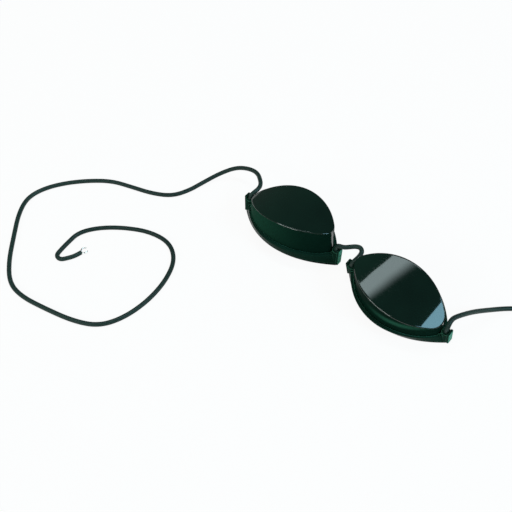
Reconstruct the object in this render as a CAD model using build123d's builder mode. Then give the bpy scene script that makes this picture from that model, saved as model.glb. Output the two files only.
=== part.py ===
"""Tanning goggles: two lemon-shaped eye cups on a short cord bridge, with an elastic head cord.

Millimetres, +Z up. The goggles lie with their windows up and their rims on the plane z = 0. The
origin is under the middle of the pair. X runs from the left eye to the right eye, and the nose is
between them. Each cup is drawn in a frame of its own: x towards the nose on a hand of +1, z up
through the window, and z = 0 under the ends of its rim.
"""
import os
from collections import namedtuple
from math import pi, radians, sqrt, tan

from build123d import *

os.makedirs("parts", exist_ok=True)

# Side wall of a cup, drawn at two levels and straight between them
wall_foot_level = 3.0
wall_foot_half_width = 13.65
wall_foot_side_radius = 25.7
wall_foot_nose_radius = 3.0
wall_foot_outer_radius = 6.2
wall_crown_level = 22.5
wall_crown_half_width = 11.8
wall_crown_side_radius = 26.6
wall_crown_nose_radius = 5.2
wall_crown_outer_radius = 6.6
wall = 1.5

# Window: a slice of a cylinder that lies across the cup, highest towards the nose
window_radius = 51.8
window_top = 21.0
window_top_x = 7.0
window_thickness = 1.8
window_edge_radius = 0.55

# Rim: the band round the cup, in layers that follow the face's curve
face_radius = 80.0
rim_low_level = -2.0
rim_low_half_width = 10.8
rim_low_side_radius = 39.1
rim_low_nose_radius = 2.3
rim_low_outer_radius = 1.7
rim_high_level = 11.0
rim_high_half_width = 15.3
rim_high_side_radius = 25.0
rim_high_tip_radius = 2.0
rim_shift = 0.5
gasket_lip = 1.4
rim_height = 5.8
ledge_edge_radius = 0.4
lip_edge_radius = 0.4
lip_overhang = 0.5
seat_depth = 2.3
groove_gap = 0.25

# Lugs at both ends of the rim, each with an upright cord hole
cord_diameter = 2.0
cord_clearance = 0.08
hole_inset = 1.87
boss_wall = 0.75
boss_top = 8.9
block_gap = 0.15
block_proud = 0.38
block_half_width = 1.6
block_top = 10.6
block_edge_radius = 0.3
block_corner_radius = 0.55
rib_count = 3
rib_groove = 0.4
rib_groove_depth = 0.35
pocket_top = 4.0
pocket_radius = 1.6

# Knots in the cord's ends
knot_radius = 1.4
knot_height = 2.4
knot_gap = 0.08

# Places of the two eyes, and how far the right one leans towards its lower side
eye_x = 28.9
left_eye_y = 1.0
right_eye_y = 1.2
eye_turn_degrees = 2.2
right_lean_degrees = 15.5

# Metal hook and eye on the head cord's two ends
hook_wire_radius = 0.3
hook_radius = 1.45
hook_opening_degrees = 80.0
hook_opening_turn_degrees = -15.0
eye_outer_radius = 1.9
eye_bore_radius = 1.1
eye_thickness = 0.7
eye_tab_width = 1.2

cut_margin = 10.0

# Routes of the cords, as corner points. The first points, in the lugs' holes, are worked out below
BRIDGE_ROUTE = [
    (-4.5, 2.2, 11.6),
    (-3.6, 2.7, 12.4),
    (-2.1, 3.5, 12.7),
    (0.1, 4.7, 13.0),
    (2.3, 5.6, 13.6),
    (4.5, 5.5, 14.3),
    (6.1, 4.1, 14.4),
    (6.7, 2.2, 13.7),
    (6.6, 0.6, 12.6),
    (5.7, -0.5, 11.8),
]
LEFT_STRAP_ROUTE = [
    (-51.8, 0.6, 11.8),
    (-51.4, 1.7, 12.75),
    (-51.0, 3.4, 13.15),
    (-51.3, 6.1, 13.25),
    (-53.2, 9.1, 13.1),
    (-58.0, 12.4, 11.7),
    (-64.6, 13.9, 9.4),
    (-71.6, 12.2, 6.2),
    (-77.0, 6.4, 3.0),
    (-80.0, -1.4, 1.3),
    (-82.2, -9.6, 1.0),
    (-85.8, -17.0, 1.0),
    (-93.6, -22.4, 1.0),
    (-103.8, -25.8, 1.0),
    (-113.4, -29.2, 1.0),
    (-121.6, -35.8, 1.0),
    (-129.2, -44.4, 1.0),
    (-134.3, -53.6, 1.0),
    (-135.4, -62.4, 1.0),
    (-130.6, -71.0, 1.0),
    (-121.4, -80.8, 1.0),
    (-111.8, -90.8, 1.0),
    (-102.2, -97.7, 1.0),
    (-92.8, -98.7, 1.0),
    (-80.6, -96.1, 1.0),
    (-67.2, -92.5, 1.0),
    (-57.4, -87.2, 1.0),
    (-52.7, -78.0, 1.0),
    (-51.6, -66.2, 1.0),
    (-54.0, -54.2, 1.0),
    (-58.2, -43.2, 1.0),
    (-66.4, -37.7, 1.0),
    (-77.6, -39.2, 1.0),
    (-88.2, -45.2, 1.0),
    (-96.6, -52.6, 1.0),
    (-101.3, -60.4, 1.0),
    (-100.4, -67.6, 1.0),
    (-99.5, -72.4, 1.0),
    (-98.95, -74.45, 1.0),
    (-97.9, -75.4, 1.0),
    (-96.5, -75.6, 1.0),
    (-95.2, -75.0, 1.0),
    (-93.9, -73.1, 1.0),
    (-92.2, -69.9, 1.0),
    (-91.8, -67.1, 1.0),
]
RIGHT_STRAP_ROUTE = [
    (51.73, -2.25, 11.6),
    (51.6, -1.45, 12.65),
    (51.4, -0.1, 13.3),
    (51.3, 2.7, 13.4),
    (52.5, 7.2, 12.0),
    (55.0, 13.8, 8.6),
    (58.6, 20.8, 4.8),
    (63.2, 27.6, 2.0),
    (69.2, 33.6, 1.0),
    (76.6, 38.8, 1.0),
    (84.8, 40.4, 1.0),
    (91.8, 37.0, 1.0),
    (94.6, 30.4, 1.0),
    (93.6, 24.4, 1.0),
]

# A lemon outline: two side arcs, a nose arc and an outer arc, all tangent
Lemon = namedtuple("Lemon", "half_width side_radius nose_radius outer_radius")
wall_foot = Lemon(
    wall_foot_half_width, wall_foot_side_radius, wall_foot_nose_radius, wall_foot_outer_radius
)
wall_crown = Lemon(
    wall_crown_half_width, wall_crown_side_radius, wall_crown_nose_radius, wall_crown_outer_radius
)
rim_low = Lemon(rim_low_half_width, rim_low_side_radius, rim_low_nose_radius, rim_low_outer_radius)
rim_high = Lemon(rim_high_half_width, rim_high_side_radius, rim_high_tip_radius, rim_high_tip_radius)

# Sizes that follow from the ones above
cord_radius = cord_diameter / 2
hole_radius = cord_radius + cord_clearance
boss_radius = hole_radius + boss_wall
frame_bottom_radius = face_radius + gasket_lip
ledge_top_radius = face_radius + rim_height
seat_radius = ledge_top_radius - seat_depth
window_axis_level = window_top - window_radius
hook_reach = hook_radius + hook_wire_radius


def reach(lemon, tip_radius):
    """Distance from the outline's middle to a tip of the given radius."""
    side = lemon.side_radius
    return tip_radius + sqrt((side - tip_radius) ** 2 - (side - lemon.half_width) ** 2)


def grown(lemon, distance):
    """The same outline, moved outwards everywhere by a distance."""
    return Lemon(*(size + distance for size in lemon))


rim_rise = (0 - rim_low_level) / (rim_high_level - rim_low_level)
rim_low_reach = reach(rim_low, rim_low.nose_radius)
rim_high_reach = reach(rim_high, rim_high.nose_radius)
rim_reach = rim_low_reach + rim_rise * (rim_high_reach - rim_low_reach)
hole_reach = rim_reach - hole_inset
block_reach = rim_reach + block_proud
face_axis_level = -sqrt(face_radius**2 - rim_reach**2)
cut_length = 4 * (rim_high.half_width + cut_margin)


def lemon_face(lemon, level, hand, middle=0.0):
    """The outline's face, at a level of the cup."""
    side = lemon.side_radius
    drop = side - lemon.half_width

    def tangent_point(tip_radius, way):
        share = side / (side - tip_radius)
        x = share * sqrt((side - tip_radius) ** 2 - drop**2)
        return hand * (middle + way * x), share * tip_radius * drop / side

    nose_x, nose_y = tangent_point(lemon.nose_radius, 1)
    outer_x, outer_y = tangent_point(lemon.outer_radius, -1)
    nose_end = hand * (middle + reach(lemon, lemon.nose_radius))
    outer_end = hand * (middle - reach(lemon, lemon.outer_radius))
    with BuildSketch(Plane.XY.offset(level)) as sketch:
        with BuildLine():
            ThreePointArc((outer_x, outer_y), (hand * middle, lemon.half_width), (nose_x, nose_y))
            ThreePointArc((nose_x, nose_y), (nose_end, 0), (nose_x, -nose_y))
            ThreePointArc((nose_x, -nose_y), (hand * middle, -lemon.half_width), (outer_x, -outer_y))
            ThreePointArc((outer_x, -outer_y), (outer_end, 0), (outer_x, outer_y))
        make_face()
    return sketch.sketch


def wall_loft(distance, hand):
    """A solid inside the wall's outer surface, moved outwards by a distance."""
    low = lemon_face(grown(wall_foot, distance), wall_foot_level, hand)
    high = lemon_face(grown(wall_crown, distance), wall_crown_level, hand)
    with BuildPart() as solid:
        loft([low, high], ruled=True)
        extrude(low, amount=-(wall_foot_level + cut_margin))
    return solid.part


def rim_loft(hand):
    """The rim's full thickness, before the layers are cut from it."""
    low = lemon_face(rim_low, rim_low_level, hand, rim_shift)
    high = lemon_face(rim_high, rim_high_level, hand, rim_shift)
    with BuildPart() as solid:
        loft([low, high], ruled=True)
    return solid.part


def face_cylinder(radius, hand):
    """A cylinder across the cup, about the axis of the face's curve."""
    with BuildPart() as solid:
        with Locations((hand * rim_shift, 0, face_axis_level)):
            Cylinder(radius, cut_length, rotation=(90, 0, 0))
    return solid.part


def window_cylinder(radius, hand):
    """A cylinder across the cup, about the axis of the window's curve."""
    with BuildPart() as solid:
        with Locations((hand * window_top_x, 0, window_axis_level)):
            Cylinder(radius, cut_length, rotation=(90, 0, 0))
    return solid.part


def hole_x(hand, end):
    """Where a lug's hole is: end is +1 at the nose and -1 at the outer end."""
    return hand * (rim_shift + end * hole_reach)


def lens_cup(hand):
    """The moulded cup: a window, and a side wall that flares down to a seat in the rim."""
    outside = wall_loft(0.0, hand)
    inside = wall_loft(-wall, hand)
    window_outside = window_cylinder(window_radius, hand)
    window_inside = window_cylinder(window_radius - window_thickness, hand)
    seat = face_cylinder(seat_radius, hand)
    with BuildPart() as cavity:
        add(inside)
        add(window_inside, mode=Mode.INTERSECT)
    with BuildPart() as cup:
        add(outside)
        add(window_outside, mode=Mode.INTERSECT)
        fillet(cup.faces().sort_by(Axis.Z)[-1].edges(), window_edge_radius)
        add(seat, mode=Mode.SUBTRACT)
        add(cavity.part, mode=Mode.SUBTRACT)
    return cup.part


def lug(hand, end):
    """A ribbed block, and the boss of the cord hole inboard of it, without the hole."""
    middle = hole_x(hand, end)
    outward = hand * end
    block_start = middle + outward * (hole_radius + block_gap)
    block_end = hand * (rim_shift + end * block_reach)
    rib_pitch = block_top / rib_count
    low = (Align.CENTER, Align.CENTER, Align.MIN)
    with BuildPart() as solid:
        with Locations(((block_start + block_end) / 2, 0, 0)):
            Box(abs(block_end - block_start), 2 * block_half_width, block_top, align=low)
        end_face = solid.faces().sort_by(Axis.X)[-1 if outward > 0 else 0]
        fillet(end_face.edges().filter_by(Axis.Z), block_corner_radius)
        fillet(solid.faces().sort_by(Axis.Z)[-1].edges(), block_edge_radius)
        for groove in range(1, rib_count):
            with Locations((block_end, 0, groove * rib_pitch)):
                Box(2 * rib_groove_depth, 4 * block_half_width, rib_groove, mode=Mode.SUBTRACT)
        with Locations((middle, 0, 0)):
            Cylinder(boss_radius, boss_top, align=low)
    return solid.part


def rim_frame(hand):
    """The frame: a ring with a rebate that takes the cup's foot, and a lug at each end."""
    band = rim_loft(hand)
    ledge_top = face_cylinder(ledge_top_radius, hand)
    frame_bottom = face_cylinder(frame_bottom_radius, hand)
    seat = face_cylinder(seat_radius, hand)
    opening = wall_loft(-wall, hand)
    rebate_outline = wall_loft(groove_gap, hand)
    lugs = [lug(hand, end) for end in (1, -1)]
    with BuildPart() as rebate:
        add(rebate_outline)
        add(seat, mode=Mode.SUBTRACT)
    with BuildPart() as frame:
        add(band)
        add(ledge_top, mode=Mode.INTERSECT)
        fillet(frame.faces().sort_by(Axis.Z)[-1].edges(), ledge_edge_radius)
        add(lugs)
        add(frame_bottom, mode=Mode.SUBTRACT)
        add(opening, mode=Mode.SUBTRACT)
        add(rebate.part, mode=Mode.SUBTRACT)
        for end in (1, -1):
            with Locations((hole_x(hand, end), 0, 0)):
                low = (Align.CENTER, Align.CENTER, Align.MIN)
                Cylinder(hole_radius, block_top + cut_margin, align=low, mode=Mode.SUBTRACT)
                Cylinder(pocket_radius, pocket_top, align=low, mode=Mode.SUBTRACT)
    return frame.part


def eye_gasket(hand):
    """The soft rim that meets the skin, a little narrower inside than the frame above it."""
    band = rim_loft(hand)
    face = face_cylinder(face_radius, hand)
    frame_bottom = face_cylinder(frame_bottom_radius, hand)
    inside = wall_loft(-wall - lip_overhang, hand)
    with BuildPart() as gasket:
        add(band)
        add(frame_bottom, mode=Mode.INTERSECT)
        add(face, mode=Mode.SUBTRACT)
        curved = gasket.faces().filter_by(GeomType.CYLINDER)
        face_side = min(curved, key=lambda surface: abs(surface.radius - face_radius))
        fillet(face_side.edges(), lip_edge_radius)
        add(inside, mode=Mode.SUBTRACT)
        for end in (1, -1):
            with Locations((hole_x(hand, end), 0, 0)):
                low = (Align.CENTER, Align.CENTER, Align.MIN)
                Cylinder(pocket_radius, pocket_top + cut_margin, align=low, mode=Mode.SUBTRACT)
    return gasket.part


def knot(hand, end):
    """A cord's stopped end: a rounded knot under the lug, and the neck up through its hole."""
    top = pocket_top - knot_gap
    with BuildPart() as solid:
        with Locations((hole_x(hand, end), 0, top)):
            high = (Align.CENTER, Align.CENTER, Align.MAX)
            Cylinder(knot_radius, knot_height, align=high)
            fillet(solid.edges().filter_by(GeomType.CIRCLE), knot_height / 3)
        with Locations((hole_x(hand, end), 0, top - knot_height / 2)):
            low = (Align.CENTER, Align.CENTER, Align.MIN)
            Cylinder(cord_radius, boss_top - top + knot_height / 2, align=low)
    return solid.part


def eye_location(gasket, hand, lean_degrees, y):
    """The place of a cup, let down until its soft rim touches z = 0."""
    place = Location((-hand * eye_x, y, 0)) * Location((0, 0, 0), (0, 0, hand * eye_turn_degrees))
    place = place * Location((0, 0, 0), (lean_degrees, 0, 0))
    lowest = gasket.moved(place).bounding_box().min.Z
    return Location((0, 0, -lowest)) * place


def write(part, name):
    """Labels a finished piece and writes it to its own file."""
    part.label = name
    export_step(part, f"parts/{name}.step")
    print(f"{name}: {part.volume:.2f} mm3")


def corner_radii(points):
    """The arc at each inner corner: 0.45 of the shorter run, over the tangent of half the turn."""
    radii = []
    for before, here, after in zip(points, points[1:], points[2:]):
        run_in = Vector(*here) - Vector(*before)
        run_out = Vector(*after) - Vector(*here)
        half_turn = radians(run_in.get_angle(run_out)) / 2
        radii.append(0.45 * min(run_in.length, run_out.length) / tan(half_turn))
    return radii


def cord_tube(points, name):
    """A round cord along straight runs joined by tangent arcs."""
    radii = corner_radii(points)
    with BuildPart() as tube:
        with BuildLine() as path:
            FilletPolyline(*points, radius=radii)
        with BuildSketch(Plane(origin=path.wire() @ 0, z_dir=path.wire() % 0)):
            Circle(cord_radius)
        sweep()
    length = path.wire().length
    expected = pi * cord_radius**2 * length
    print(f"{name}: length {length:.1f}, radii {min(radii):.1f} to {max(radii):.1f},"
          f" volume {tube.part.volume:.1f} against {expected:.1f}")
    return tube.part


def hole_axis(location, hand, end):
    """The mouth of a lug's hole, and the way up out of it, in the part's frame."""
    mouth = (location * Location((hole_x(hand, end), 0, boss_top))).position
    above = (location * Location((hole_x(hand, end), 0, boss_top + cord_diameter))).position
    return mouth, (above - mouth).normalized()


def tuple_of(vector):
    """A vector as plain numbers."""
    return vector.X, vector.Y, vector.Z


def cord_end_plane(points):
    """The plane at a route's last point that lies as flat as the cord does, with x on along it."""
    last, before = Vector(*points[-1]), Vector(*points[-2])
    ahead = (last - before).normalized()
    sideways = Vector(0, 0, 1).cross(ahead)
    return Plane(origin=last, x_dir=ahead, z_dir=ahead.cross(sideways))


left_gasket = eye_gasket(1)
right_gasket = eye_gasket(-1)
left_eye = eye_location(left_gasket, 1, 0, left_eye_y)
right_eye = eye_location(right_gasket, -1, right_lean_degrees, right_eye_y)

for side, hand, place, gasket in (
    ("left", 1, left_eye, left_gasket),
    ("right", -1, right_eye, right_gasket),
):
    write(lens_cup(hand).moved(place), f"{side}_lens_cup")
    write(rim_frame(hand).moved(place), f"{side}_rim_frame")
    write(gasket.moved(place), f"{side}_eye_gasket")
    write(knot(hand, 1).moved(place), f"bridge_knot_{side}")
    write(knot(hand, -1).moved(place), f"{side}_strap_knot")

# The bridge runs from mouth to mouth of the nose lugs
exit_run = 1.6 * cord_radius
left_mouth, left_up = hole_axis(left_eye, 1, 1)
right_mouth, right_up = hole_axis(right_eye, -1, 1)
bridge_points = [tuple_of(left_mouth), tuple_of(left_mouth + left_up * exit_run)]
bridge_points += BRIDGE_ROUTE
bridge_points += [tuple_of(right_mouth + right_up * exit_run), tuple_of(right_mouth)]
write(cord_tube(bridge_points, "bridge"), "bridge_cord")

# The head cord's two lengths start at the mouths of the outer lugs
for side, hand, place, route in (
    ("left", 1, left_eye, LEFT_STRAP_ROUTE),
    ("right", -1, right_eye, RIGHT_STRAP_ROUTE),
):
    mouth, up = hole_axis(place, hand, -1)
    points = [tuple_of(mouth), tuple_of(mouth + up * exit_run)] + route
    write(cord_tube(points, side), f"{side}_strap_cord")

# Hook: a ring of wire with a gap, on a short stem that meets the left cord's end
hook_plane = cord_end_plane(LEFT_STRAP_ROUTE)
hook_start_degrees = hook_opening_turn_degrees + hook_opening_degrees / 2
with BuildPart() as strap_hook:
    with BuildLine(hook_plane) as wire:
        CenterArc((hook_reach, 0), hook_radius, hook_start_degrees, 360 - hook_opening_degrees)
    with BuildSketch(Plane(origin=wire.wire() @ 0, z_dir=wire.wire() % 0)):
        Circle(hook_wire_radius)
    sweep()
    with BuildSketch(Plane(origin=hook_plane.origin, z_dir=hook_plane.x_dir)):
        Circle(hook_wire_radius)
    extrude(amount=hook_wire_radius)
write(strap_hook.part, "strap_hook")

# Eye: a flat ring on a tab that meets the right cord's end
with BuildPart() as strap_eye:
    with BuildSketch(cord_end_plane(RIGHT_STRAP_ROUTE)):
        with Locations((eye_outer_radius, 0)):
            Circle(eye_outer_radius)
        Rectangle(eye_outer_radius, eye_tab_width, align=(Align.MIN, Align.CENTER))
        with Locations((eye_outer_radius, 0)):
            Circle(eye_bore_radius, mode=Mode.SUBTRACT)
    extrude(amount=eye_thickness / 2, both=True)
write(strap_eye.part, "strap_eye")
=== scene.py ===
"""Tanning goggles on a pale floor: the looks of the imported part.

Metres, +Z up, in the part's own frame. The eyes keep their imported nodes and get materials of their
own. The three cords are rebuilt as smooth lines that their routes' points steer.
"""
import math
from collections import namedtuple

import bpy
from mathutils import Matrix, Vector


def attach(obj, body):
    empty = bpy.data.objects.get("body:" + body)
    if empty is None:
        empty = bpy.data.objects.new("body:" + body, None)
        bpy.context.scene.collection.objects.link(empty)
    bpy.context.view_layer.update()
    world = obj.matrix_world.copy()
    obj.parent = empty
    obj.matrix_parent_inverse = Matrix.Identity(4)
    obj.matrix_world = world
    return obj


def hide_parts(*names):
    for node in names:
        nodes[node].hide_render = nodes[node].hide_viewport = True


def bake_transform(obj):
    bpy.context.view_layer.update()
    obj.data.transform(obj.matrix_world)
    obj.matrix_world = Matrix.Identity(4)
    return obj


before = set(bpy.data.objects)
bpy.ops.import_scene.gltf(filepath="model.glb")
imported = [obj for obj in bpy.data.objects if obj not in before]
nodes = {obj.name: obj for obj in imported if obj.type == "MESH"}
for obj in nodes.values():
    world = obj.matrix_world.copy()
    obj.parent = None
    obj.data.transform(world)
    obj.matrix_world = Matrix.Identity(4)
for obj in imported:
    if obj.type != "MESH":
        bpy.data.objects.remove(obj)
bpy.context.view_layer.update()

CORD_RADIUS = 0.001

# How far each eye is turned about the vertical, and how far the right one leans towards its near side
EYE_TURN_DEGREES = 2.2
RIGHT_LEAN_DEGREES = 15.5


def eye_axes(turn_degrees, lean_degrees):
    """An eye's long axis towards the right, and its window's direction."""
    turn = Matrix.Rotation(math.radians(turn_degrees), 3, "Z")
    placed = turn @ Matrix.Rotation(math.radians(lean_degrees), 3, "X")
    return placed @ Vector((1.0, 0.0, 0.0)), placed @ Vector((0.0, 0.0, 1.0))


LEFT_LONG, LEFT_UP = eye_axes(EYE_TURN_DEGREES, 0.0)
RIGHT_LONG, RIGHT_UP = eye_axes(-EYE_TURN_DEGREES, RIGHT_LEAN_DEGREES)

# Along an eye: from the origin to the middle between its lugs, from there to the lugs' end faces,
# and the border over which the painted light on those faces fades in
LUG_MIDDLE = 0.0283
LUG_REACH = 0.0256
LUG_END_BORDER = 0.0009

# The mouth of the hole in each lug that a cord leaves, and how far it runs straight from there
LEFT_OUTER_MOUTH = (-0.05188, 0.00012, 0.00879)
RIGHT_OUTER_MOUTH = (0.05179, -0.00206, 0.00860)
LEFT_NOSE_MOUTH = (-0.00492, 0.00192, 0.00879)
RIGHT_NOSE_MOUTH = (0.00483, -0.00025, 0.00860)
EXIT_RUN = 0.0016


def out_of(mouth, up):
    """The point straight out of a hole's mouth, where its cord starts to bend."""
    return tuple(Vector(mouth) + EXIT_RUN * up)


BRIDGE_ROUTE = [
    LEFT_NOSE_MOUTH,
    out_of(LEFT_NOSE_MOUTH, LEFT_UP),
    (-0.0047, 0.0020, 0.0118),
    (-0.0037, 0.0019, 0.0125),
    (-0.0018, 0.0026, 0.0125),
    (0.0001, 0.0041, 0.0130),
    (0.0020, 0.0056, 0.0135),
    (0.0041, 0.0060, 0.0140),
    (0.0056, 0.0050, 0.0135),
    (0.0058, 0.0034, 0.0128),
    (0.0057, 0.0016, 0.0124),
    (0.0053, 0.0000, 0.0118),
    out_of(RIGHT_NOSE_MOUTH, RIGHT_UP),
    RIGHT_NOSE_MOUTH,
]
LEFT_STRAP_ROUTE = [
    LEFT_OUTER_MOUTH,
    out_of(LEFT_OUTER_MOUTH, LEFT_UP),
    (-0.0515, 0.0009, 0.0116),
    (-0.0511, 0.0023, 0.0122),
    (-0.0509, 0.0041, 0.0124),
    (-0.0514, 0.0064, 0.0125),
    (-0.0532, 0.0086, 0.0125),
    (-0.0580, 0.0122, 0.0117),
    (-0.0644, 0.0134, 0.0094),
    (-0.0716, 0.0122, 0.0062),
    (-0.0770, 0.0064, 0.0030),
    (-0.0800, -0.0014, 0.0013),
    (-0.0818, -0.0098, 0.0010),
    (-0.0854, -0.0174, 0.0010),
    (-0.0936, -0.0224, 0.0010),
    (-0.1038, -0.0258, 0.0010),
    (-0.1134, -0.0292, 0.0010),
    (-0.1216, -0.0358, 0.0010),
    (-0.1292, -0.0444, 0.0010),
    (-0.1343, -0.0536, 0.0010),
    (-0.1354, -0.0624, 0.0010),
    (-0.1306, -0.0710, 0.0010),
    (-0.1214, -0.0808, 0.0010),
    (-0.1118, -0.0908, 0.0010),
    (-0.1022, -0.0977, 0.0010),
    (-0.0928, -0.0987, 0.0010),
    (-0.0806, -0.0961, 0.0010),
    (-0.0672, -0.0925, 0.0010),
    (-0.0574, -0.0872, 0.0010),
    (-0.0527, -0.0780, 0.0010),
    (-0.0512, -0.0662, 0.0010),
    (-0.0528, -0.0540, 0.0010),
    (-0.0576, -0.0432, 0.0010),
    (-0.0664, -0.0377, 0.0010),
    (-0.0776, -0.0392, 0.0010),
    (-0.0882, -0.0452, 0.0010),
    (-0.0966, -0.0526, 0.0010),
    (-0.1013, -0.0604, 0.0010),
    (-0.1004, -0.0676, 0.0010),
    (-0.0995, -0.0724, 0.0010),
    (-0.09895, -0.07445, 0.0010),
    (-0.0979, -0.0754, 0.0010),
    (-0.0965, -0.0756, 0.0010),
    (-0.0952, -0.0750, 0.0010),
    (-0.0939, -0.0731, 0.0010),
    (-0.0922, -0.0699, 0.0010),
    (-0.0918, -0.0671, 0.0010),
]
RIGHT_STRAP_ROUTE = [
    RIGHT_OUTER_MOUTH,
    out_of(RIGHT_OUTER_MOUTH, RIGHT_UP),
    (0.05173, -0.00225, 0.0116),
    (0.0516, -0.00145, 0.01265),
    (0.0514, -0.0001, 0.0133),
    (0.0515, 0.0020, 0.0133),
    (0.0532, 0.0066, 0.0120),
    (0.0554, 0.0132, 0.0086),
    (0.0588, 0.0204, 0.0048),
    (0.0632, 0.0276, 0.0020),
    (0.0692, 0.0336, 0.0010),
    (0.0766, 0.0388, 0.0010),
    (0.0848, 0.0404, 0.0010),
    (0.0918, 0.0370, 0.0010),
    (0.0946, 0.0304, 0.0010),
    (0.0936, 0.0244, 0.0010),
]

# A stretch to either side of a middle, both in metres, along a direction through the origin
Reach = namedtuple("Reach", "direction middle distance")

# Painted glow, standing in for light coming through the plastic: its share of the painted lit colour at
# the middles of its reaches
PaintedGlow = namedtuple("PaintedGlow", "share reaches")


class Nodes:
    """A material's, light's or world's node tree, with short calls to add and join nodes."""

    def __init__(self, owner):
        owner.use_nodes = True
        self.tree = owner.node_tree
        self.tree.nodes.clear()

    def set(self, socket, value):
        """Gives a socket a number, a colour or another node's output."""
        if isinstance(value, bpy.types.NodeSocket):
            self.tree.links.new(value, socket)
        else:
            socket.default_value = value

    def add(self, kind, inputs=None, **settings):
        """Adds a node with values for its inputs, by their names or numbers."""
        made = self.tree.nodes.new(kind)
        for name, value in settings.items():
            setattr(made, name, value)
        for name, value in (inputs or {}).items():
            self.set(made.inputs[name], value)
        return made

    def math(self, operation, *values):
        """The result of a sum on one, two or three values."""
        return self.add("ShaderNodeMath", dict(enumerate(values)), operation=operation).outputs[0]

    def dot(self, a, b):
        """The scalar product of two vectors."""
        made = self.add("ShaderNodeVectorMath", {0: a, 1: b}, operation="DOT_PRODUCT")
        return made.outputs["Value"]

    def off(self, place, reach):
        """How far a place lies from the middle of a reach, along its direction."""
        return self.math("ABSOLUTE", self.math("SUBTRACT", self.dot(place, reach.direction), reach.middle))

    def ramp(self, value, start, end, low=0.0, high=1.0):
        """A smooth step of a value, from low at start to high at end."""
        inputs = {"Value": value, "From Min": start, "From Max": end, "To Min": low, "To Max": high}
        return self.add("ShaderNodeMapRange", inputs, interpolation_type="SMOOTHSTEP").outputs[0]

    def blend(self, share, a, b):
        """A colour between a and b."""
        made = self.add("ShaderNodeMix", data_type="RGBA")
        for name, value in (("Factor_Float", share), ("A_Color", a), ("B_Color", b)):
            self.set(next(s for s in made.inputs if s.identifier == name), value)
        return next(s for s in made.outputs if s.identifier == "Result_Color")

    def noise(self, place, scale, detail):
        """A noise value from 0 to 1 at a place."""
        inputs = {"Vector": place, "Scale": scale, "Detail": detail}
        return self.add("ShaderNodeTexNoise", inputs).outputs["Fac"]

    def bump(self, height, distance, strength=1.0, normal=None):
        """A normal, the face's own or a given one, bent by a height times a distance in metres."""
        inputs = {"Height": height, "Distance": distance, "Strength": strength}
        if normal:
            inputs["Normal"] = normal
        return self.add("ShaderNodeBump", inputs).outputs["Normal"]

    def finish(self, **inputs):
        """The surface shader and the output."""
        named = {name.replace("_", " "): value for name, value in inputs.items()}
        shader = self.add("ShaderNodeBsdfPrincipled", named)
        self.add("ShaderNodeOutputMaterial", {"Surface": shader.outputs[0]})


def colour(red, green, blue):
    """A linear colour."""
    return (red, green, blue, 1.0)


WHITE = colour(1.0, 1.0, 1.0)

# The plastic's edges look this round and their painted highlight is this wide, its colour drifts at random
# this far towards its painted lit colour, and its scratches add at most this much roughness
EDGE_RADIUS = 0.0005
DRIFT_SHARE = 0.08
SCRATCH_ROUGHNESS = 0.06


def moulded_plastic(name, deep, lit, gloss, ior, painted_glows=(), painted_lit_lug_ends=None, edge_highlight_share=0.5):
    """Dark tinted plastic with painted light: painted highlights along sharp edges, and painted glow where
    light would come through it.

    Each painted glow falls to nothing at the distances of its reaches. The lug ends' reach gives the lugs'
    end faces, which are painted lit all over, and gloss is the least roughness.
    faces, which are lit all over, and gloss the least roughness.
    """
    material = bpy.data.materials.new(name)
    n = Nodes(material)
    place = n.add("ShaderNodeTexCoord").outputs["Object"]
    face_normal = n.add("ShaderNodeNewGeometry").outputs["Normal"]
    rounded = n.add("ShaderNodeBevel", {"Radius": EDGE_RADIUS}, samples=8).outputs["Normal"]
    drift = n.noise(place, scale=70.0, detail=3.0)

    # Painted highlight along sharp edges: a sharp edge is where the rounded normal leaves the face's own
    edge = n.ramp(n.dot(rounded, face_normal), start=0.99, end=0.75, high=edge_highlight_share)
    share = n.math("MULTIPLY", edge, n.ramp(drift, start=0.3, end=0.7, low=0.4))
    # Painted glow: patches of the painted lit colour that fade out along each reach
    for glow in painted_glows:
        light = glow.share
        for reach in glow.reaches:
            falling = n.ramp(n.off(place, reach), start=0.0, end=reach.distance, low=1.0, high=0.0)
            light = n.math("MULTIPLY", falling, light)
        share = n.math("MAXIMUM", share, light)
    # Painted light on the lugs' end faces: the painted lit colour all over the faces that point along the
    # eye
    if painted_lit_lug_ends:
        border = painted_lit_lug_ends.distance - LUG_END_BORDER
        beyond = n.ramp(n.off(place, painted_lit_lug_ends), start=border, end=painted_lit_lug_ends.distance)
        own_normal = n.add("ShaderNodeTexCoord").outputs["Normal"]
        faces_along = n.math("ABSOLUTE", n.dot(own_normal, painted_lit_lug_ends.direction))
        facing = n.ramp(faces_along, start=0.55, end=0.9)
        share = n.math("MAXIMUM", share, n.math("MULTIPLY", beyond, facing))
    tint = n.blend(n.math("MULTIPLY", drift, DRIFT_SHARE), deep, lit)

    # Scratches that run one way roughen it, and the moulding ripples a little
    one_way = {"Vector": place, "Rotation": (0.2, 0.4, 0.9), "Scale": (1.0, 14.0, 14.0)}
    scratches = n.noise(n.add("ShaderNodeMapping", one_way).outputs[0], scale=420.0, detail=4.0)
    ripple = n.noise(place, scale=60.0, detail=1.0)
    # The base colour: the plastic's tint, mixed towards the painted lit colour by the painted light's
    # share
    n.finish(
        Base_Color=n.blend(share, tint, lit),
        Roughness=n.ramp(scratches, start=0.45, end=0.75, low=gloss, high=gloss + SCRATCH_ROUGHNESS),
        Normal=n.bump(ripple, distance=0.00003, normal=rounded),
        IOR=ior,
    )
    return material


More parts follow.
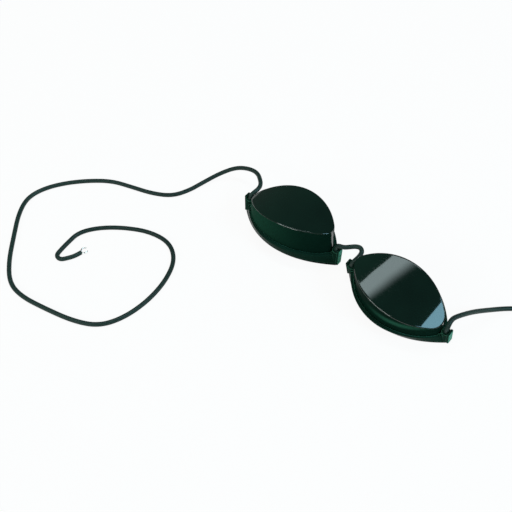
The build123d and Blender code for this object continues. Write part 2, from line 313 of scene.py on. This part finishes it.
def soft_vinyl(name, deep, worn):
    """Soft dark vinyl with a fine grain."""
    material = bpy.data.materials.new(name)
    n = Nodes(material)
    place = n.add("ShaderNodeTexCoord").outputs["Object"]
    grain = n.noise(place, scale=2600.0, detail=2.0)
    drift = n.noise(place, scale=90.0, detail=3.0)
    n.finish(
        Base_Color=n.blend(n.math("MULTIPLY", drift, grain), deep, worn),
        Roughness=n.ramp(grain, start=0.3, end=0.7, low=0.38, high=0.52),
        Normal=n.bump(grain, distance=0.00002, strength=0.6),
        IOR=1.06,
    )
    return material


def braided_cord(name, deep, worn, strand_pairs=8):
    """Thin braided elastic: two sets of strands that cross round the cord. It reads the cord's UV."""
    material = bpy.data.materials.new(name)
    n = Nodes(material)
    along_and_round = n.add("ShaderNodeUVMap").outputs["UV"]
    parts = n.add("ShaderNodeSeparateXYZ", {"Vector": along_and_round})
    along, around = parts.outputs["X"], parts.outputs["Y"]

    def strands(way):
        """A wave from 0 to 1 that winds round the cord one way."""
        turns = n.math("MULTIPLY_ADD", around, float(way * strand_pairs), along)
        wave = n.math("SINE", n.math("MULTIPLY", turns, math.tau))
        return n.math("MULTIPLY_ADD", wave, 0.5, 0.5)

    weave = n.math("MAXIMUM", strands(1), strands(-1))
    fuzz = n.noise(n.add("ShaderNodeTexCoord").outputs["Object"], scale=1800.0, detail=3.0)
    wear = n.ramp(fuzz, start=0.2, end=0.8, low=0.4)
    n.finish(
        Base_Color=n.blend(n.math("MULTIPLY", weave, wear), deep, worn),
        Roughness=n.ramp(weave, start=0.0, end=1.0, low=0.62, high=0.40),
        Normal=n.bump(weave, distance=0.00005, strength=0.5),
        IOR=1.3,
    )
    return material


def bright_metal(name, dull, bright):
    """Plated steel wire with a fine grain."""
    material = bpy.data.materials.new(name)
    n = Nodes(material)
    place = n.add("ShaderNodeTexCoord").outputs["Object"]
    grain = n.noise(place, scale=3200.0, detail=4.0)
    n.finish(
        Base_Color=n.blend(grain, dull, bright),
        Metallic=1.0,
        Roughness=n.ramp(grain, start=0.3, end=0.7, low=0.14, high=0.30),
        Normal=n.bump(grain, distance=0.000006, strength=0.5),
    )
    return material


def use(material, *names):
    """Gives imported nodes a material, all over."""
    for name in names:
        mesh = nodes[name].data
        mesh.materials.clear()
        mesh.materials.append(material)


WINDOW_GREEN = colour(0.0006, 0.0066, 0.0047)
WALL_GREEN = colour(0.0018, 0.0095, 0.0060)
RIM_GREEN = colour(0.0028, 0.0130, 0.0082)
# Painted light: the colours that the painted edge highlights, painted glow and painted lit lug ends mix in
PAINTED_LIT_GREEN = colour(0.030, 0.130, 0.078)
PAINTED_LIT_RIM_GREEN = colour(0.085, 0.290, 0.190)

# The places of a cup's three materials in its list
WINDOW, WALL, EDGE = range(3)

# Shares of a face's normal along its eye's directions. The window faces up, its rounded edge also
# faces partly across or along the eye, and the wall's two narrow tips face along it.
WINDOW_RISE_SHARE = 0.5
ROUNDED_ACROSS_SHARE = 0.35
ROUNDED_ALONG_SHARE = 0.7
TIP_RISE_SHARE = 0.35
TIP_ALONG_SHARE = 0.985


def cup_material(normal, long_axis, up):
    """Which of a cup's materials a face has, by the way it faces."""
    rise = abs(normal.dot(up))
    along = abs(normal.dot(long_axis))
    across = abs(normal.dot(up.cross(long_axis)))
    if rise > WINDOW_RISE_SHARE:
        rounded = across > ROUNDED_ACROSS_SHARE or along > ROUNDED_ALONG_SHARE
        return EDGE if rounded else WINDOW
    return EDGE if rise < TIP_RISE_SHARE and along > TIP_ALONG_SHARE else WALL


def dress_eye(side, long_axis, up, lug_middle, window_painted_glows, wall_painted_glows):
    """Gives one eye's cup its window, wall and edge, and its rim a finish with painted light on its lug
    ends.
    """
    window = moulded_plastic(
        f"{side}_window", WINDOW_GREEN, PAINTED_LIT_GREEN, gloss=0.04, ior=1.36, painted_glows=window_painted_glows
    )
    wall = moulded_plastic(
        f"{side}_wall", WALL_GREEN, PAINTED_LIT_GREEN, gloss=0.16, ior=1.01, painted_glows=wall_painted_glows
    )
    edge = moulded_plastic(f"{side}_edge", WALL_GREEN, PAINTED_LIT_GREEN, gloss=0.04, ior=1.80)
    rim = moulded_plastic(
        f"{side}_rim",
        RIM_GREEN,
        PAINTED_LIT_RIM_GREEN,
        gloss=0.16,
        ior=1.02,
        painted_lit_lug_ends=Reach(long_axis, lug_middle, LUG_REACH),
        edge_highlight_share=1.0,
    )
    use(window, f"{side}_lens_cup")
    use(rim, f"{side}_rim_frame")
    cup = nodes[f"{side}_lens_cup"].data
    cup.materials.append(wall)
    cup.materials.append(edge)
    for face in cup.polygons:
        face.material_index = cup_material(face.normal, long_axis, up)


# Painted light: a lit patch at the left wall's outer end, a lit stripe along the middle of the right wall,
# and a fainter painted glow in both windows
dress_eye(
    "left",
    long_axis=LEFT_LONG,
    up=LEFT_UP,
    lug_middle=-LUG_MIDDLE,
    window_painted_glows=[PaintedGlow(0.07, [Reach(LEFT_LONG, -0.048, 0.040)])],
    wall_painted_glows=[PaintedGlow(0.33, [Reach(LEFT_LONG, -0.046, 0.035)])],
)
dress_eye(
    "right",
    long_axis=RIGHT_LONG,
    up=RIGHT_UP,
    lug_middle=LUG_MIDDLE,
    window_painted_glows=[PaintedGlow(0.06, [Reach(RIGHT_LONG, 0.008, 0.018)])],
    wall_painted_glows=[PaintedGlow(0.60, [Reach(RIGHT_UP, 0.0146, 0.0027), Reach(RIGHT_LONG, 0.036, 0.017)])],
)

vinyl = soft_vinyl("soft_rim", deep=colour(0.0022, 0.0085, 0.0058), worn=colour(0.010, 0.026, 0.020))
use(vinyl, "left_eye_gasket", "right_eye_gasket")
cord_finish = braided_cord("cord", deep=colour(0.0030, 0.0095, 0.0070), worn=colour(0.022, 0.050, 0.040))
use(cord_finish, "left_strap_knot", "right_strap_knot", "bridge_knot_left", "bridge_knot_right")
metal = bright_metal("hook_metal", dull=colour(0.72, 0.74, 0.74), bright=colour(0.86, 0.87, 0.86))
use(metal, "strap_hook", "strap_eye")


def add_object(name, data):
    """A new object in the scene."""
    made = bpy.data.objects.new(name, data)
    bpy.context.scene.collection.objects.link(made)
    return made


def cord_curve(name, points):
    """A smooth line with the route's points as its control points, as thick as the cord."""
    data = bpy.data.curves.new(name, "CURVE")
    data.dimensions = "3D"
    data.resolution_u = 10
    data.bevel_depth = CORD_RADIUS
    data.bevel_resolution = 5
    data.use_fill_caps = True
    spline = data.splines.new("NURBS")
    spline.points.add(len(points) - 1)
    for place, point in zip(points, spline.points):
        point.co = (*place, 1.0)
    spline.order_u = 3
    spline.use_endpoint_u = True
    data.materials.append(cord_finish)
    return add_object(name, data)


left_strap = cord_curve("left_strap", LEFT_STRAP_ROUTE)
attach(left_strap, "left_eye")
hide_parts("left_strap_cord")

right_strap = cord_curve("right_strap", RIGHT_STRAP_ROUTE)
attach(right_strap, "right_eye")
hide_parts("right_strap_cord")

# The bridge bends between the two eyes, so it is a mesh
bridge_line = cord_curve("bridge_line", BRIDGE_ROUTE)
bridge_mesh = bpy.data.meshes.new_from_object(bridge_line)
bpy.data.objects.remove(bridge_line)
bridge = add_object("bridge", bridge_mesh)
for face in bridge_mesh.polygons:
    face.use_smooth = True
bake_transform(bridge)
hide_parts("bridge_cord")

FLOOR_REACH = 3.0
FLOOR_GLOW_SHARE = 0.93
ROOM_STRENGTH = 0.12


def pale_floor_finish():
    """Nearly white where the camera or a reflection sees it, and matt for all other light."""
    material = bpy.data.materials.new("pale_floor")
    n = Nodes(material)
    rays = n.add("ShaderNodeLightPath").outputs
    mirrored = n.math("MAXIMUM", rays["Is Glossy Ray"], rays["Is Transmission Ray"])
    seen = n.math("MAXIMUM", rays["Is Camera Ray"], mirrored)
    matt = n.add("ShaderNodeBsdfDiffuse", {"Color": colour(0.96, 0.94, 0.92)})
    glow = n.add("ShaderNodeEmission", {"Color": WHITE, "Strength": 1.0})
    glow_share = n.math("MULTIPLY", seen, FLOOR_GLOW_SHARE)
    both = n.add("ShaderNodeMixShader", {"Fac": glow_share, 1: matt.outputs[0], 2: glow.outputs[0]})
    n.add("ShaderNodeOutputMaterial", {"Surface": both.outputs[0]})
    return material


floor_mesh = bpy.data.meshes.new("floor")
corners = [(FLOOR_REACH * x, FLOOR_REACH * y, 0.0) for x, y in ((-1, -1), (1, -1), (1, 1), (-1, 1))]
floor_mesh.from_pydata(corners, [], [(0, 1, 2, 3)])
floor = add_object("floor", floor_mesh)
floor_mesh.materials.append(pale_floor_finish())


def turned_towards(place, aim):
    """The turn of a camera or light that looks from one point to another."""
    return (Vector(aim) - Vector(place)).to_track_quat("-Z", "Y").to_euler()


def soft_box(name, place, aim, width, depth, radiance, tint, turn_degrees=0.0, fade_share=0.0):
    """A rectangular light that faces a point. Its power follows from its radiance and area.

    It darkens towards its own -Y side, over fade_share of its depth.
    """
    data = bpy.data.lights.new(name, "AREA")
    data.shape = "RECTANGLE"
    data.size = width
    data.size_y = depth
    data.color = tint
    data.energy = radiance * math.pi * width * depth
    if fade_share:
        n = Nodes(data)
        on_box = n.add("ShaderNodeNewGeometry").outputs["Parametric"]
        across = n.add("ShaderNodeSeparateXYZ", {"Vector": on_box}).outputs["Y"]
        strength = n.ramp(across, start=0.0, end=fade_share)
        emission = n.add("ShaderNodeEmission", {"Color": WHITE, "Strength": strength})
        n.add("ShaderNodeOutputLight", {"Surface": emission.outputs[0]})
    light = add_object(name, data)
    light.location = place
    light.rotation_euler = turned_towards(place, aim)
    light.rotation_euler.rotate_axis("Z", math.radians(turn_degrees))


RIGHT_EYE_END = (0.05, 0.0, 0.0)

# The right window mirrors the strip as its pale band
soft_box(
    "strip",
    place=(-0.216, 0.051, 0.90),
    aim=(-0.216, 0.051, 0.0),
    width=0.75,
    depth=0.18,
    radiance=9.2,
    tint=(0.80, 0.98, 1.0),
    turn_degrees=21.6,
    fade_share=0.5,
)

# It mirrors this one as the blue patch at its outer end
soft_box(
    "end_light",
    place=(0.93, 0.10, 0.85),
    aim=RIGHT_EYE_END,
    width=0.42,
    depth=0.36,
    radiance=15.0,
    tint=(0.40, 0.80, 1.0),
)

# The last two light the edges and walls from the far right and from the near side
soft_box(
    "back_light",
    place=(1.20, 0.90, 0.45),
    aim=RIGHT_EYE_END,
    width=0.8,
    depth=0.25,
    radiance=6.0,
    tint=(0.85, 0.98, 1.0),
)
soft_box(
    "front_fill",
    place=(-0.15, -1.35, 0.85),
    aim=(0.0, 0.0, 0.0),
    width=1.3,
    depth=0.5,
    radiance=5.0,
    tint=(0.88, 1.0, 0.95),
)

# White where the camera sees past the floor, and a dim room for all other light
world = bpy.data.worlds.new("studio")
bpy.context.scene.world = world
room = Nodes(world)
seen_directly = room.add("ShaderNodeLightPath").outputs["Is Camera Ray"]
room_light = room.math("MAXIMUM", seen_directly, ROOM_STRENGTH)
sky = room.add("ShaderNodeBackground", {"Color": WHITE, "Strength": room_light})
room.add("ShaderNodeOutputWorld", {"Surface": sky.outputs[0]})

# The camera stands to the right of the goggles, above their near side
CAMERA_PLACE = (0.0910, -0.1610, 0.2473)
CAMERA_AIM = (-0.0331, -0.0178, 0.0)
camera_data = bpy.data.cameras.new("camera")
camera_data.lens = 50.0
camera_data.sensor_width = 36.0
camera_data.clip_start = 0.01
camera_data.clip_end = 20.0
camera = add_object("camera", camera_data)
camera.location = CAMERA_PLACE
camera.rotation_euler = turned_towards(CAMERA_PLACE, CAMERA_AIM)
bpy.context.scene.camera = camera
bpy.context.scene.view_settings.view_transform = "Standard"
